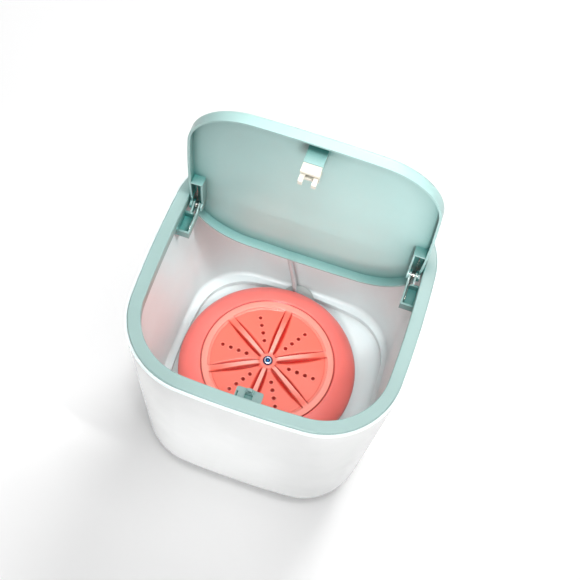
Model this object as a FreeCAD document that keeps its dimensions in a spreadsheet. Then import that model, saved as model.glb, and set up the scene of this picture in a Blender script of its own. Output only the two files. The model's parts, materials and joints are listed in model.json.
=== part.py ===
import FreeCAD, Part
import math
import os
import re
import Sketcher

# Portable mini washer: a rounded-square double-walled tub with a spring-hinged
# lid, and a turbine unit with its own motor standing on the tub's floor.
# Frame: X right, Y to the hinge side, Z up, origin at the middle of the underside.
# The lid's own pieces are drawn closed and then turned open about the hinge pins.

SIZES = {
    # tub, outside and inside: half-widths across the flats, bowed sides, corners
    "tub_half": 85.0, "tub_bow": 705.0, "tub_corner": 49.0, "tub_top": 176.2,
    "base_round": 33.0, "tub_draft": 3.313, "base_shrink": 10.2,
    "wall": 1.5, "lip_z": 178.0,
    "liner_half": 77.5, "liner_bow": 771.0, "liner_corner": 41.8, "liner_wall": 1.1,
    "liner_draft": 1.453, "liner_shrink": 3.6, "ledge_z": 36.0, "ledge_round": 3.0,
    "well_half": 70.8, "well_bow": 255.0, "well_corner": 35.6, "well_x": 2.0,
    "well_y": -1.7, "floor_z": 31.0,
    "channel_x": -22.5, "channel_half": 3.0, "channel_wall": 1.1,
    # rim ring
    "rim_z": 180.0, "ring_half": 83.7, "ring_bow": 705.0, "ring_corner": 47.8,
    "mouth_half": 75.7, "mouth_bow": 771.0, "mouth_corner": 40.0,
    "skirt_wall": 1.5, "skirt_z": 171.4,
    # lid and hinge; the x places are those of the right-hand hinge
    "lid_half": 74.9, "lid_bow": 786.0, "lid_corner": 39.1, "lid_low_z": 172.5,
    "lid_skin": 1.8, "lid_wall": 1.5, "lid_edge": 2.4, "lid_open": 86.4,
    "hinge_y": 37.5, "hinge_z": 172.0, "pin_radius": 1.0, "pin_bore": 1.05,
    "arm_in": 65.9, "arm_wall": 1.2, "ear_in": 67.4, "ear_out": 71.0, "ear_wall": 1.1,
    "cheek_in": 72.5, "cheek_out": 74.0, "ear_radius": 3.2, "arm_front": 11.0,
    "trough_front": 16.5, "trough_back": 31.5, "trough_z": 165.7, "trough_top": 171.7,
    "coil_in": 68.8, "coil_out": 70.7, "coil_radius": 2.5, "wire_radius": 0.35,
    # latch on the lid and its strike on the ring
    "latch_y": -62.0, "latch_half": 5.4, "latch_deep": 3.9, "socket_z": 166.0,
    "collar_z": 160.0, "jaw_pin_x": 2.0, "jaw_pin_z": 165.4, "jaw_low_z": 155.0,
    "shelf_z": 153.5, "shelf_half": 8.3, "shelf_reach": -59.4, "shelf_thick": 1.8, "shelf_recess": 1.3,
    # turbine unit, about its own upright axis
    "unit_x": -4.5, "unit_y": 0.0, "dome_radius": 61.4, "dome_low_z": 48.5,
    "dome_z": 50.5, "seam_radius": 46.2, "seam_z": 61.2, "deck_z": 57.2,
    "deck_low_z": 55.4, "rotor_radius": 45.6, "rotor_low_z": 58.0, "rotor_z": 60.0,
    "bottom_z": 34.0, "floor_top_z": 36.0, "gasket": 0.4, "screw_ring": 34.0,
    "blade_turn": 27.4, "spindle_radius": 2.0, "spindle_top": 61.5, "bush_bore": 2.06,
    "bush_radius": 4.0, "bush_top_z": 41.5, "hub_low_z": 53.5, "board_z": 40.0,
    # motor and gears, the motor's axis at motor_x from the unit's
    "motor_x": -21.0, "motor_radius": 12.2, "motor_cap_z": 38.5, "motor_top_z": 49.6,
    "shaft_radius": 1.0, "gear_low_z": 50.6, "gear_top_z": 53.0,
    "gear_teeth": 72.0, "gear_root": 17.4, "gear_tip": 18.42,
    "pinion_teeth": 12.0, "pinion_root": 2.35, "pinion_tip": 3.42,
    # suction cups: two under the front and one behind
    "cup_radius": 12.6, "cup_ring": 44.0, "cup_neck": 2.0, "cup_bore": 2.05,
    "rear_cup_x": 2.8, "rear_cup_y": 61.3, "rear_cup_z": 37.6, "rear_cup_tilt": 8.0,
    # supply lead, its coil and its plug
    "cord_radius": 1.75, "gland_radius": 2.3, "cord_exit_y": 56.8, "cord_exit_z": 44.6,
    "hank_y": 128.0, "hank_in": 14.7, "hank_out": 25.3, "hank_low": 0.6, "hank_top": 7.6,
    "plug_x": 42.0, "plug_y": 103.0, "plug_z": 3.75,
}

doc = FreeCAD.newDocument("mini_washer")
sheet = doc.addObject("Spreadsheet::Sheet", "Sizes")
for row, (alias, size) in enumerate(SIZES.items(), 1):
    sheet.set("A%d" % row, alias)
    sheet.set("B%d" % row, str(size))
    sheet.setAlias("B%d" % row, alias)
doc.recompute()

parts = []
X_AXIS = FreeCAD.Vector(1, 0, 0)
Z_AXIS = FreeCAD.Vector(0, 0, 1)


# ---------------------------------------------------------------- helpers

def bound(text):
    """An expression with its size names pointed at the spreadsheet."""
    return re.sub(r"[a-z_]+", lambda word: "Sizes." + word.group(0)
                  if word.group(0) in SIZES else word.group(0), str(text))


def number(text):
    """What an expression comes to, as a plain number."""
    return float(sheet.evalExpression(bound(text)))


def bind(thing, prop, text):
    thing.setExpression(prop, bound(text))


def keep(thing, label):
    """Names a finished sub-part and puts it on the list to be written."""
    thing.Label = label
    parts.append(thing)
    return thing


def place(thing, x="0", y="0", z="0"):
    for axis, text in zip("xyz", (x, y, z)):
        bind(thing, "Placement.Base." + axis, text)
    return thing


def hang_on_lid(thing):
    """Turns a piece drawn with the lid closed to the lid's open rest pose."""
    turn = "(-lid_open * 1 deg)"
    thing.Placement = FreeCAD.Placement(FreeCAD.Vector(), FreeCAD.Rotation(X_AXIS, -number("lid_open")))
    bind(thing, "Placement.Rotation.Angle", "lid_open * 1 deg")
    thing.Placement.Rotation.Axis = FreeCAD.Vector(-1, 0, 0)
    bind(thing, "Placement.Base.y", "hinge_y - hinge_y * cos%s + hinge_z * sin%s" % (turn, turn))
    bind(thing, "Placement.Base.z", "hinge_z - hinge_y * sin%s - hinge_z * cos%s" % (turn, turn))
    return thing


def new_body(label, whole=True):
    """A body; it is a sub-part by itself unless it only helps to make one."""
    body = doc.addObject("PartDesign::Body", label)
    return keep(body, label) if whole else body


def new_sketch(body, name, role="XY_Plane", lift="0", x="0", y="0"):
    """A sketch on one of the body's own planes, lifted along the plane's normal."""
    sketch = body.newObject("Sketcher::SketchObject", body.Label + "_" + name)
    plane = [item for item in body.Origin.OriginFeatures if item.Role == role][0]
    sketch.AttachmentSupport = (plane, [""])
    sketch.MapMode = "FlatFace"
    for axis, text in zip("xyz", (x, y, lift)):
        bind(sketch, "AttachmentOffset.Base." + axis, text)
    return sketch


def dimension(sketch, *constraint):
    """Adds a constraint whose last item is an expression for its value."""
    text = constraint[-1]
    index = sketch.addConstraint(Sketcher.Constraint(*constraint[:-1], number(text)))
    bind(sketch, "Constraints[%d]" % index, text)


def polygon(sketch, corners):
    """Closed outline of straight lines, each corner held by two dimensions."""
    first = sketch.GeometryCount
    count = len(corners)
    spots = [FreeCAD.Vector(number(x), number(y), 0) for x, y in corners]
    for k in range(count):
        sketch.addGeometry(Part.LineSegment(spots[k], spots[(k + 1) % count]))
    for k in range(count):
        after = first + (k + 1) % count
        sketch.addConstraint(Sketcher.Constraint("Coincident", first + k, 2, after, 1))
    for k, (x, y) in enumerate(corners):
        dimension(sketch, "DistanceX", -1, 1, first + k, 1, x)
        dimension(sketch, "DistanceY", -1, 1, first + k, 1, y)


def rectangle(sketch, x_low, x_high, y_low, y_high):
    polygon(sketch, [(x_low, y_low), (x_high, y_low), (x_high, y_high), (x_low, y_high)])


def circle(sketch, x, y, radius):
    spot = FreeCAD.Vector(number(x), number(y), 0)
    index = sketch.addGeometry(Part.Circle(spot, Z_AXIS, number(radius)))
    dimension(sketch, "DistanceX", -1, 1, index, 3, x)
    dimension(sketch, "DistanceY", -1, 1, index, 3, y)
    dimension(sketch, "Radius", index, radius)


def rounded_square(sketch, half, bow, corner, inset="0"):
    """Square with bowed sides: four long side arcs and four corner arcs, all tangent."""
    first = sketch.GeometryCount
    a, b, r = ["(%s - (%s))" % (name, inset) for name in (half, bow, corner)]
    gap = "(%s - %s)" % (b, a)
    middle = "((sqrt(2 * (%s - %s)^2 - %s^2) - %s) / 2)" % (b, r, gap, gap)
    half_x, big, small, c = number(a), number(b), number(r), number(middle)
    edge = math.atan2(c, c + big - half_x)
    for k in range(4):
        turn = FreeCAD.Rotation(Z_AXIS, 90 * k)
        side = turn.multVec(FreeCAD.Vector(half_x - big, 0, 0))
        spot = turn.multVec(FreeCAD.Vector(c, c, 0))
        start = math.pi / 2 * k
        sketch.addGeometry(Part.ArcOfCircle(Part.Circle(side, Z_AXIS, big),
                                            start - edge, start + edge))
        sketch.addGeometry(Part.ArcOfCircle(Part.Circle(spot, Z_AXIS, small),
                                            start + edge, start + math.pi / 2 - edge))
    signs = [("", ""), ("-", ""), ("-", "-"), ("", "-")]
    for k in range(8):
        after = first + (k + 1) % 8
        sketch.addConstraint(Sketcher.Constraint("Tangent", first + k, 2, after, 1))
    for k, (sign_x, sign_y) in enumerate(signs):
        dimension(sketch, "Radius", first + 2 * k, b)
        dimension(sketch, "Radius", first + 2 * k + 1, r)
        dimension(sketch, "DistanceX", -1, 1, first + 2 * k + 1, 3, sign_x + middle)
        dimension(sketch, "DistanceY", -1, 1, first + 2 * k + 1, 3, sign_y + middle)


def feature(body, kind, name, profile, **settings):
    made = body.newObject("PartDesign::" + kind, body.Label + "_" + name)
    made.Profile = profile
    for prop, value in settings.items():
        if isinstance(value, str) and prop in ("Length", "Length2", "Angle"):
            bind(made, prop, value)
        else:
            setattr(made, prop, value)
    return made


def pad(body, name, profile, length, **settings):
    return feature(body, "Pad", name, profile, Length=length, **settings)


def pocket(body, name, profile, length, **settings):
    return feature(body, "Pocket", name, profile, Length=length, **settings)


def drafted(body, kind, name, profile, length, draft, reverse=False):
    """A pad or pocket that widens upwards by the draft angle."""
    made = feature(body, kind, name, profile, Length=length, Reversed=reverse)
    bind(made, "TaperAngle", draft)
    return made


def fillet(body, name, base, radius, test):
    """Rounds every edge of the base feature that passes the test."""
    doc.recompute()
    edges = ["Edge%d" % (k + 1) for k, edge in enumerate(base.Shape.Edges) if test(edge)]
    made = body.newObject("PartDesign::Fillet", body.Label + "_" + name)
    made.Base = (base, edges)
    bind(made, "Radius", radius)
    return made


def level(z):
    """A test for edges that lie flat at a height."""
    height = number(z)
    return lambda edge: all(abs(v.Z - height) < 0.01 for v in edge.Vertexes) \
        and abs(edge.BoundBox.ZMax - edge.BoundBox.ZMin) < 0.02


def revolved(label, corners, x="0", y="0"):
    """A turned piece about its own upright axis; corners are (radius, height)."""
    body = new_body(label)
    sketch = new_sketch(body, "section", "XZ_Plane")
    polygon(sketch, corners)
    made = body.newObject("PartDesign::Revolution", label + "_turned")
    made.Profile = sketch
    made.ReferenceAxis = (sketch, ["V_Axis"])
    made.Angle = 360
    place(body, x, y)
    return body


def box(name, x, y, z):
    """A block between two values on each axis."""
    made = doc.addObject("Part::Box", name)
    for prop, axis, (low, high) in zip(("Length", "Width", "Height"), "xyz", (x, y, z)):
        bind(made, prop, "(%s) - (%s)" % (high, low))
        bind(made, "Placement.Base." + axis, low)
    return made


def cylinder(name, x, y, z, radius, length, axis=Z_AXIS):
    """A rod from its first end's middle, along an axis."""
    made = doc.addObject("Part::Cylinder", name)
    made.Placement = FreeCAD.Placement(FreeCAD.Vector(), FreeCAD.Rotation(Z_AXIS, axis))
    bind(made, "Radius", radius)
    bind(made, "Height", length)
    return place(made, x, y, z)


def fuse(name, pieces):
    made = doc.addObject("Part::MultiFuse", name)
    made.Shapes = pieces
    return made


def cut(name, base, tool):
    made = doc.addObject("Part::Cut", name)
    made.Base = base
    made.Tool = tool
    return made


def shaped(label, shape):
    """A piece whose shape comes from Part's own functions."""
    made = doc.addObject("Part::Feature", label)
    made.Shape = shape
    return keep(made, label)


# ---------------------------------------------------------------- tub

def tub_outer_shell():
    solids = []
    for name, inset, low in (("outside", "0", "0"), ("inside", "wall", "wall")):
        body = new_body("tub_" + name, whole=False)
        base = new_sketch(body, "base", lift=low)
        rounded_square(base, "tub_half", "tub_bow", "tub_corner", "base_shrink + " + inset)
        block = drafted(body, "Pad", "block", base, "tub_top", "tub_draft")
        fillet(body, "foot", block, "base_round - " + inset, level(low))
        solids.append(body)
    keep(cut("tub_outer_shell", *solids), "tub_outer_shell")


def tub_liner():
    outside = new_body("liner_outside", whole=False)
    base = new_sketch(outside, "base", lift="ledge_z - liner_wall")
    rounded_square(base, "liner_half", "liner_bow", "liner_corner", "liner_shrink - liner_wall")
    drafted(outside, "Pad", "block", base, "lip_z - ledge_z + liner_wall", "liner_draft")
    well = new_sketch(outside, "well", lift="floor_z - liner_wall", x="well_x", y="well_y")
    rounded_square(well, "well_half", "well_bow", "well_corner", "-liner_wall * 0.8")
    pad(outside, "well_wall", well, "ledge_z - floor_z")
    flange = new_sketch(outside, "lip", lift="tub_top")
    rounded_square(flange, "tub_half", "tub_bow", "tub_corner")
    pad(outside, "flange", flange, "lip_z - tub_top")
    side = new_sketch(outside, "channel", "YZ_Plane", lift="channel_x")
    polygon(side, [("74", "134.5"), ("76.9", "134.5"), ("80.5", "161"), ("81.2", "163.5"),
                   ("81.2", "tub_top + 0.5"), ("74", "tub_top + 0.5")])
    pad(outside, "channel_wall", side, "2 * (channel_half + channel_wall)", Midplane=True)

    hollow = new_body("liner_hollow", whole=False)
    base = new_sketch(hollow, "base", lift="ledge_z")
    rounded_square(base, "liner_half", "liner_bow", "liner_corner", "liner_shrink")
    block = drafted(hollow, "Pad", "block", base, "lip_z - ledge_z + 1", "liner_draft")
    fillet(hollow, "ledge", block, "ledge_round", level("ledge_z"))
    well = new_sketch(hollow, "well", lift="floor_z", x="well_x", y="well_y")
    rounded_square(well, "well_half", "well_bow", "well_corner")
    pad(hollow, "well_hollow", well, "ledge_z - floor_z")
    side = new_sketch(hollow, "channel", "YZ_Plane", lift="channel_x")
    polygon(side, [("70", "137"), ("76", "137"), ("80.1", "162.5"), ("80.1", "lip_z + 1"),
                   ("70", "lip_z + 1")])
    pad(hollow, "channel_bore", side, "2 * channel_half", Midplane=True)
    keep(cut("tub_liner", outside, hollow), "tub_liner")


def rim_ring():
    body = new_body("rim_ring")
    top = new_sketch(body, "top", lift="lip_z")
    rounded_square(top, "ring_half", "ring_bow", "ring_corner")
    rounded_square(top, "mouth_half", "mouth_bow", "mouth_corner")
    plate = pad(body, "plate", top, "rim_z - lip_z")
    fillet(body, "soft_edge", plate, "0.8", level("rim_z"))
    skirt = new_sketch(body, "skirt", lift="skirt_z")
    rounded_square(skirt, "mouth_half", "mouth_bow", "mouth_corner", "-skirt_wall")
    rounded_square(skirt, "mouth_half", "mouth_bow", "mouth_corner")
    pad(body, "skirt_wall", skirt, "lip_z - skirt_z + 0.5")
    for side, sign in (("right", 1), ("left", -1)):
        hinge_trough(body, side, sign)
    shelf = new_sketch(body, "shelf", lift="shelf_z - shelf_thick")
    rectangle(shelf, "-shelf_half", "shelf_half", "-75.9", "shelf_reach")
    floor = pad(body, "shelf_floor", shelf, "shelf_thick")
    fillet(body, "shelf_corners", floor, "1.5", shelf_corner)
    drop = new_sketch(body, "shelf_drop", lift="shelf_z - shelf_thick")
    rectangle(drop, "-shelf_half", "shelf_half", "-76.1", "-74.6")
    pad(body, "shelf_back", drop, "skirt_z + 0.8 - shelf_z + shelf_thick")
    for side, low, high in (("left", "-shelf_half", "1.1 - shelf_half"),
                            ("right", "shelf_half - 1.1", "shelf_half")):
        cheek = new_sketch(body, "shelf_cheek_" + side, "YZ_Plane", lift=low)
        polygon(cheek, [("-75.9", "shelf_z - 1"), ("shelf_reach - 10", "shelf_z - 1"),
                        ("shelf_reach - 10", "shelf_z + 3"), ("-74.8", "skirt_z + 1"),
                        ("-75.9", "skirt_z + 1")])
        pad(body, "shelf_wall_" + side, cheek, "1.1")
    notch = new_sketch(body, "notch", lift="skirt_z - 1")
    rectangle(notch, "channel_x - channel_half - 0.3", "channel_x + channel_half + 0.3",
              "70", "81.3")
    pocket(body, "cord_notch", notch, "rim_z - skirt_z + 2", Reversed=True)
    for side, sign in (("right", 1), ("left", -1)):
        relief = new_sketch(body, side + "_relief", lift="skirt_z - 1")
        low, high = mirrored("cheek_in + 0.5", "lid_half + 0.5", sign)
        rectangle(relief, low, high, "hinge_y + 3.7", "hinge_y + 7.8")
        pocket(body, side + "_lid_relief", relief, "rim_z - skirt_z + 2", Reversed=True)
    window = new_sketch(body, "window", lift="shelf_z - shelf_recess")
    rectangle(window, "-2.5", "2.5", "-65.6", "-62.9")
    pocket(body, "strike_window", window, "shelf_recess + 1", Reversed=True)
    slit = new_sketch(body, "slit", lift="shelf_z - shelf_recess")
    rectangle(slit, "0.8 - shelf_half", "1.6 - shelf_half", "shelf_reach - 8", "shelf_reach - 3.2")
    pocket(body, "shelf_slit", slit, "shelf_recess + 1", Reversed=True)


def shelf_corner(edge):
    """A test for the two upright corners at the shelf's free edge."""
    reach = number("shelf_reach")
    low = number("shelf_z - shelf_thick")
    return all(abs(v.Y - reach) < 0.01 and v.Z > low - 0.01 for v in edge.Vertexes) \
        and edge.BoundBox.ZMax - edge.BoundBox.ZMin > 1


def mirrored(low, high, sign):
    """A stretch along X on the right, or its mirror image on the left."""
    return (low, high) if sign > 0 else ("-(%s)" % high, "-(%s)" % low)


def hinge_trough(body, side, sign):
    """Open trough under the rim with two ears that hold the hinge pin."""
    floor = new_sketch(body, side + "_trough", lift="trough_z")
    low, high = mirrored("ear_in", "mouth_half + 0.7", sign)
    rectangle(floor, low, high, "trough_front", "trough_back")
    pad(body, side + "_trough_block", floor, "trough_top - trough_z")
    hollow = new_sketch(body, side + "_trough_hollow", lift="trough_z + 1.2")
    low, high = mirrored("ear_in + ear_wall", "mouth_half - 0.6", sign)
    rectangle(hollow, low, high, "trough_front + 1.2", "trough_back - 1.2")
    pocket(body, side + "_trough_bore", hollow, "trough_top - trough_z", Reversed=True)
    gap = new_sketch(body, side + "_leg_gap", lift="trough_top - 3.2")
    low, high = mirrored("coil_in - 0.1", "coil_in + 1.1", sign)
    rectangle(gap, low, high, "trough_back - 2", "trough_back + 1")
    pocket(body, side + "_leg_notch", gap, "4", Reversed=True)
    for name, start in (("inner", "ear_in"), ("outer", "ear_out")):
        low, high = mirrored(start, start + " + ear_wall", sign)
        ear = new_sketch(body, side + "_" + name + "_ear", "YZ_Plane", lift=low)
        polygon(ear, [("trough_back - 1", "trough_z"), ("hinge_y - 1.5", "trough_z + 1.5"),
                      ("hinge_y + 2.2", "hinge_z - 2.4"), ("hinge_y + ear_radius", "hinge_z"),
                      ("hinge_y + 2.2", "hinge_z + 2.4"), ("hinge_y", "hinge_z + ear_radius"),
                      ("hinge_y - 2.6", "hinge_z + 2"), ("trough_back - 1", "trough_top")])
        pad(body, side + "_" + name + "_ear_plate", ear, "ear_wall")
        hole = new_sketch(body, side + "_" + name + "_hole", "YZ_Plane", lift=low)
        circle(hole, "hinge_y", "hinge_z", "pin_bore")
        pocket(body, side + "_" + name + "_pin_hole", hole, "ear_wall", Reversed=True)


def latch_strike():
    """Arrow-headed post that the jaws of the latch close round."""
    pieces = [box("strike_foot", ("-2.2", "2.2"), ("-62.5", "shelf_reach"), ("shelf_z", "shelf_z + 1")),
              box("strike_neck", ("-0.7", "0.7"), ("-62.2", "-60.2"), ("shelf_z + 1", "155.8")),
              box("strike_head", ("-1.2", "1.2"), ("-62.2", "-60.2"), ("155.8", "157.4"))]
    keep(fuse("latch_strike", pieces), "latch_strike")


# ---------------------------------------------------------------- lid

def lid():
    body = new_body("lid")
    outline = new_sketch(body, "outline", lift="lid_low_z")
    rounded_square(outline, "lid_half", "lid_bow", "lid_corner")
    block = pad(body, "block", outline, "rim_z - lid_low_z")
    fillet(body, "edge", block, "lid_edge", level("rim_z"))
    inside = new_sketch(body, "inside", lift="lid_low_z")
    rounded_square(inside, "lid_half", "lid_bow", "lid_corner", "lid_wall")
    pocket(body, "tray", inside, "rim_z - lid_skin - lid_low_z", Reversed=True)
    for side, sign in (("right", 1), ("left", -1)):
        low, high = mirrored("arm_in", "arm_in + arm_wall", sign)
        arm = new_sketch(body, side + "_arm", "YZ_Plane", lift=low)
        hinge_cheek(arm, "arm_front", "hinge_z")
        pad(body, side + "_arm_wall", arm, "arm_wall")
        low, high = mirrored("cheek_in", "cheek_out", sign)
        cheek = new_sketch(body, side + "_cheek", "YZ_Plane", lift=low)
        hinge_cheek(cheek, "hinge_y - 8", "hinge_z")
        pad(body, side + "_cheek_wall", cheek, "cheek_out - cheek_in")
        low, high = mirrored("arm_in", "cheek_in + 0.7", sign)
        end = new_sketch(body, side + "_arm_end", lift="hinge_z")
        rectangle(end, low, high, "arm_front", "arm_front + arm_wall")
        pad(body, side + "_arm_end_wall", end, "rim_z - lid_skin - hinge_z + 0.3")
        low, high = mirrored("arm_in - 1", "cheek_out + 1", sign)
        hole = new_sketch(body, side + "_hole", "YZ_Plane", lift=low)
        circle(hole, "hinge_y", "hinge_z", "pin_bore")
        pocket(body, side + "_pin_hole", hole, "cheek_out - arm_in + 2", Reversed=True)
    socket = new_sketch(body, "socket", lift="socket_z")
    for half, deep in (("latch_half + 0.1", "latch_deep + 0.1"),
                       ("latch_half - 1.15", "latch_deep - 1.25")):
        rectangle(socket, "-(%s)" % half, half, "latch_y - (%s)" % deep, "latch_y + (%s)" % deep)
    pad(body, "latch_socket", socket, "rim_z - lid_skin - socket_z + 0.3")
    hang_on_lid(body)


def hinge_cheek(sketch, front, low):
    """Wall that runs down from the lid's skin to a round-nosed ear about the pin."""
    polygon(sketch, [(front, low), ("hinge_y - 3", "hinge_z"), ("hinge_y - 2.2", "hinge_z - 2.3"),
                     ("hinge_y", "hinge_z - ear_radius"), ("hinge_y + 2.3", "hinge_z - 2.3"),
                     ("hinge_y + ear_radius", "hinge_z"), ("hinge_y + ear_radius", "hinge_z + 2.5"),
                     ("hinge_y + 1.5", "rim_z - lid_skin + 0.3"), (front, "rim_z - lid_skin + 0.3")])


def hinge_hardware():
    for side, sign in (("right", 1), ("left", -1)):
        low, high = mirrored("arm_in", "cheek_out", sign)
        pin = cylinder("hinge_pin_" + side, low, "hinge_y", "hinge_z", "pin_radius",
                       "cheek_out - arm_in", X_AXIS)
        keep(pin, "hinge_pin_" + side)
        low, high = mirrored("coil_in", "coil_out", sign)
        coil = cylinder("coil_" + side, low, "hinge_y", "hinge_z", "coil_radius",
                        "coil_out - coil_in", X_AXIS)
        low, high = mirrored("coil_in", "coil_in + 0.9", sign)
        leg = cylinder("fixed_leg_" + side, "(%s + %s) / 2" % (low, high), "hinge_y - 1",
                       "hinge_z - 1.9", "wire_radius", "17", FreeCAD.Vector(0, -1, -0.13))
        low, high = mirrored("coil_in - 0.1", "coil_out + 0.1", sign)
        bore = cylinder("coil_bore_" + side, low, "hinge_y", "hinge_z", "pin_radius + 0.4",
                        "coil_out - coil_in + 0.2", X_AXIS)
        spring = cut("hinge_spring_" + side, fuse("spring_wire_" + side, [coil, leg]), bore)
        keep(spring, "hinge_spring_" + side)
        arm = new_body("hinge_spring_arm_" + side)
        low, high = mirrored("coil_out - 2 * wire_radius", "coil_out", sign)
        wire = new_sketch(arm, "wire", "XZ_Plane", lift="3.5 - hinge_y")
        circle(wire, "(%s + %s) / 2" % (low, high), "hinge_z + 2.6", "wire_radius")
        pad(arm, "rod", wire, "18")
        hang_on_lid(arm)


# ---------------------------------------------------------------- latch

def about_latch(half):
    """A stretch along Y about the latch's middle."""
    return ("latch_y - (%s)" % half, "latch_y + (%s)" % half)


def both(half):
    return ("-(%s)" % half, half)


def latch():
    solid = fuse("case_solid", [
        box("case_collar", both("latch_half"), about_latch("latch_deep - 0.1"),
            ("collar_z", "socket_z")),
        box("case_insert", both("latch_half - 1.2"), about_latch("latch_deep - 1.3"),
            ("socket_z", "177.8"))])
    room = fuse("case_room", [
        box("jaw_slot", both("latch_half + 1"), about_latch("1.9"), ("collar_z - 1", "165")),
        box("jaw_room", both("4.2"), about_latch("1.9"), ("164.5", "168.8")),
        box("case_bore", both("3.4"), about_latch("1.9"), ("164.5", "176.6"))])
    hang_on_lid(keep(cut("latch_case", solid, room), "latch_case"))

    block = fuse("plunger_solid", [
        box("plunger_head", both("3.1"), about_latch("1.65"), ("167.2", "169")),
        box("plunger_front", both("3.1"), ("latch_y - 1.65", "latch_y - 0.95"), ("163.8", "168")),
        box("plunger_rear", both("3.1"), ("latch_y + 0.95", "latch_y + 1.65"), ("163.8", "168")),
        box("plunger_foot", both("0.45"), about_latch("0.9"), ("161.4", "168"))])
    holes = fuse("plunger_holes", [
        cylinder("plunger_hole_%d" % k, sign + "jaw_pin_x", "latch_y - 3", "jaw_pin_z", "0.5",
                 "6", FreeCAD.Vector(0, 1, 0)) for k, sign in enumerate(("", "-"))])
    hang_on_lid(keep(cut("latch_plunger", block, holes), "latch_plunger"))
    pins = fuse("latch_jaw_pins", [
        cylinder("jaw_pin_%d" % k, sign + "jaw_pin_x", "latch_y - 1.65", "jaw_pin_z", "0.5",
                 "3.3", FreeCAD.Vector(0, 1, 0)) for k, sign in enumerate(("", "-"))])
    hang_on_lid(keep(pins, "latch_jaw_pins"))

    for side, sign in (("right", ""), ("left", "-")):
        jaw = new_body("latch_jaw_" + side)
        plate = new_sketch(jaw, "plate", "XZ_Plane", lift="-latch_y")
        polygon(plate, [(sign + x, z) for x, z in (
            ("1.0", "166.2"), ("0.9", "164.6"), ("2.0", "161.5"), ("4.4", "161.5"),
            ("3.2", "165.9"), ("2.6", "166.5"), ("1.5", "166.6"))])
        pad(jaw, "eye_plate", plate, "1.6", Midplane=True)
        prong = new_sketch(jaw, "prong", "XZ_Plane", lift="-latch_y")
        polygon(prong, [(sign + x, z) for x, z in (
            ("2.2", "162.6"), ("2.7", "157.2"), ("2.5", "156.6"), ("2.5", "jaw_low_z"),
            ("4.9", "jaw_low_z"), ("5.2", "156"), ("5.1", "159.5"), ("4.2", "162.6"))])
        pad(jaw, "prong_block", prong, "3.3", Midplane=True)
        hole = new_sketch(jaw, "hole", "XZ_Plane", lift="-latch_y")
        circle(hole, sign + "jaw_pin_x", "jaw_pin_z", "0.56")
        pocket(jaw, "pin_hole", hole, "6", Midplane=True)
        hang_on_lid(jaw)

    spring = new_body("latch_spring")
    wire = new_sketch(spring, "coil", lift="169.1")
    circle(wire, "0", "latch_y", "1.5")
    circle(wire, "0", "latch_y", "0.9")
    pad(spring, "tube", wire, "7.4")
    hang_on_lid(spring)


# ---------------------------------------------------------------- turbine unit

UNIT = ("unit_x", "unit_y")
MOTOR = ("unit_x + motor_x", "unit_y")
POST_ANGLES = [60, 120, 240, 300]
CUP_ANGLES = [210, 330]
BOARD_POSTS = [("15", "-6.5"), ("15", "6.5"), ("33", "-6.5"), ("33", "6.5")]
HOLE_RINGS = ["15.6", "21.5", "27.3", "33.2"]


def on_ring(radius, angle):
    """Where a point on a circle about the unit's axis lies, as two expressions."""
    return ("(%s) * cos(%s deg)" % (radius, angle), "(%s) * sin(%s deg)" % (radius, angle))


def rounds(body, name, lift, ring, angles, radii, length, kind="Pad"):
    """Upright pegs, or rings where there are two radii, at angles on one circle."""
    for k, angle in enumerate(angles):
        sketch = new_sketch(body, "%s_%d" % (name, k), lift=lift)
        for radius in radii:
            circle(sketch, *on_ring(ring, angle), radius)
        made = feature(body, kind, "%s_feature_%d" % (name, k), sketch, Length=length)
        made.Reversed = kind == "Pocket"


def polar(body, made, count):
    """Repeats a feature about the body's own upright axis."""
    axis = [item for item in body.Origin.OriginFeatures if item.Role == "Z_Axis"][0]
    pattern = body.newObject("PartDesign::PolarPattern", made.Label + "_pattern")
    pattern.Originals = [made]
    pattern.Axis = (axis, [""])
    pattern.Angle = 360
    bind(pattern, "Occurrences", count)
    body.Tip = pattern


def turbine_upper_housing():
    body = revolved("turbine_upper_housing", [
        ("dome_radius", "dome_low_z"), ("dome_radius", "dome_z"),
        ("dome_radius - 0.5", "dome_z + 1.9"), ("dome_radius - 1.9", "dome_z + 4.2"),
        ("dome_radius - 4.3", "dome_z + 6.6"), ("dome_radius - 7.4", "dome_z + 8.7"),
        ("dome_radius - 10.8", "dome_z + 10.1"), ("seam_radius + 1.2", "seam_z"),
        ("seam_radius + 0.3", "seam_z"), ("seam_radius", "seam_z - 0.4"),
        ("seam_radius", "deck_z"), ("5", "deck_z"), ("5", "hub_low_z"),
        ("7.5", "hub_low_z"), ("7.5", "deck_low_z"),
        ("seam_radius + 1.5", "deck_low_z"), ("seam_radius + 2.6", "seam_z - 2.4"),
        ("dome_radius - 11.6", "dome_z + 8"), ("dome_radius - 8.6", "dome_z + 6.7"),
        ("dome_radius - 5.8", "dome_z + 4.9"), ("dome_radius - 3.8", "dome_z + 2.9"),
        ("dome_radius - 2.4", "dome_z"), ("dome_radius - 2.2", "dome_low_z")], *UNIT)
    rounds(body, "screw_post", "38.6", "screw_ring", POST_ANGLES, ("3.2", "1.25"),
           "deck_low_z - 38.6 + 0.5")


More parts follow.
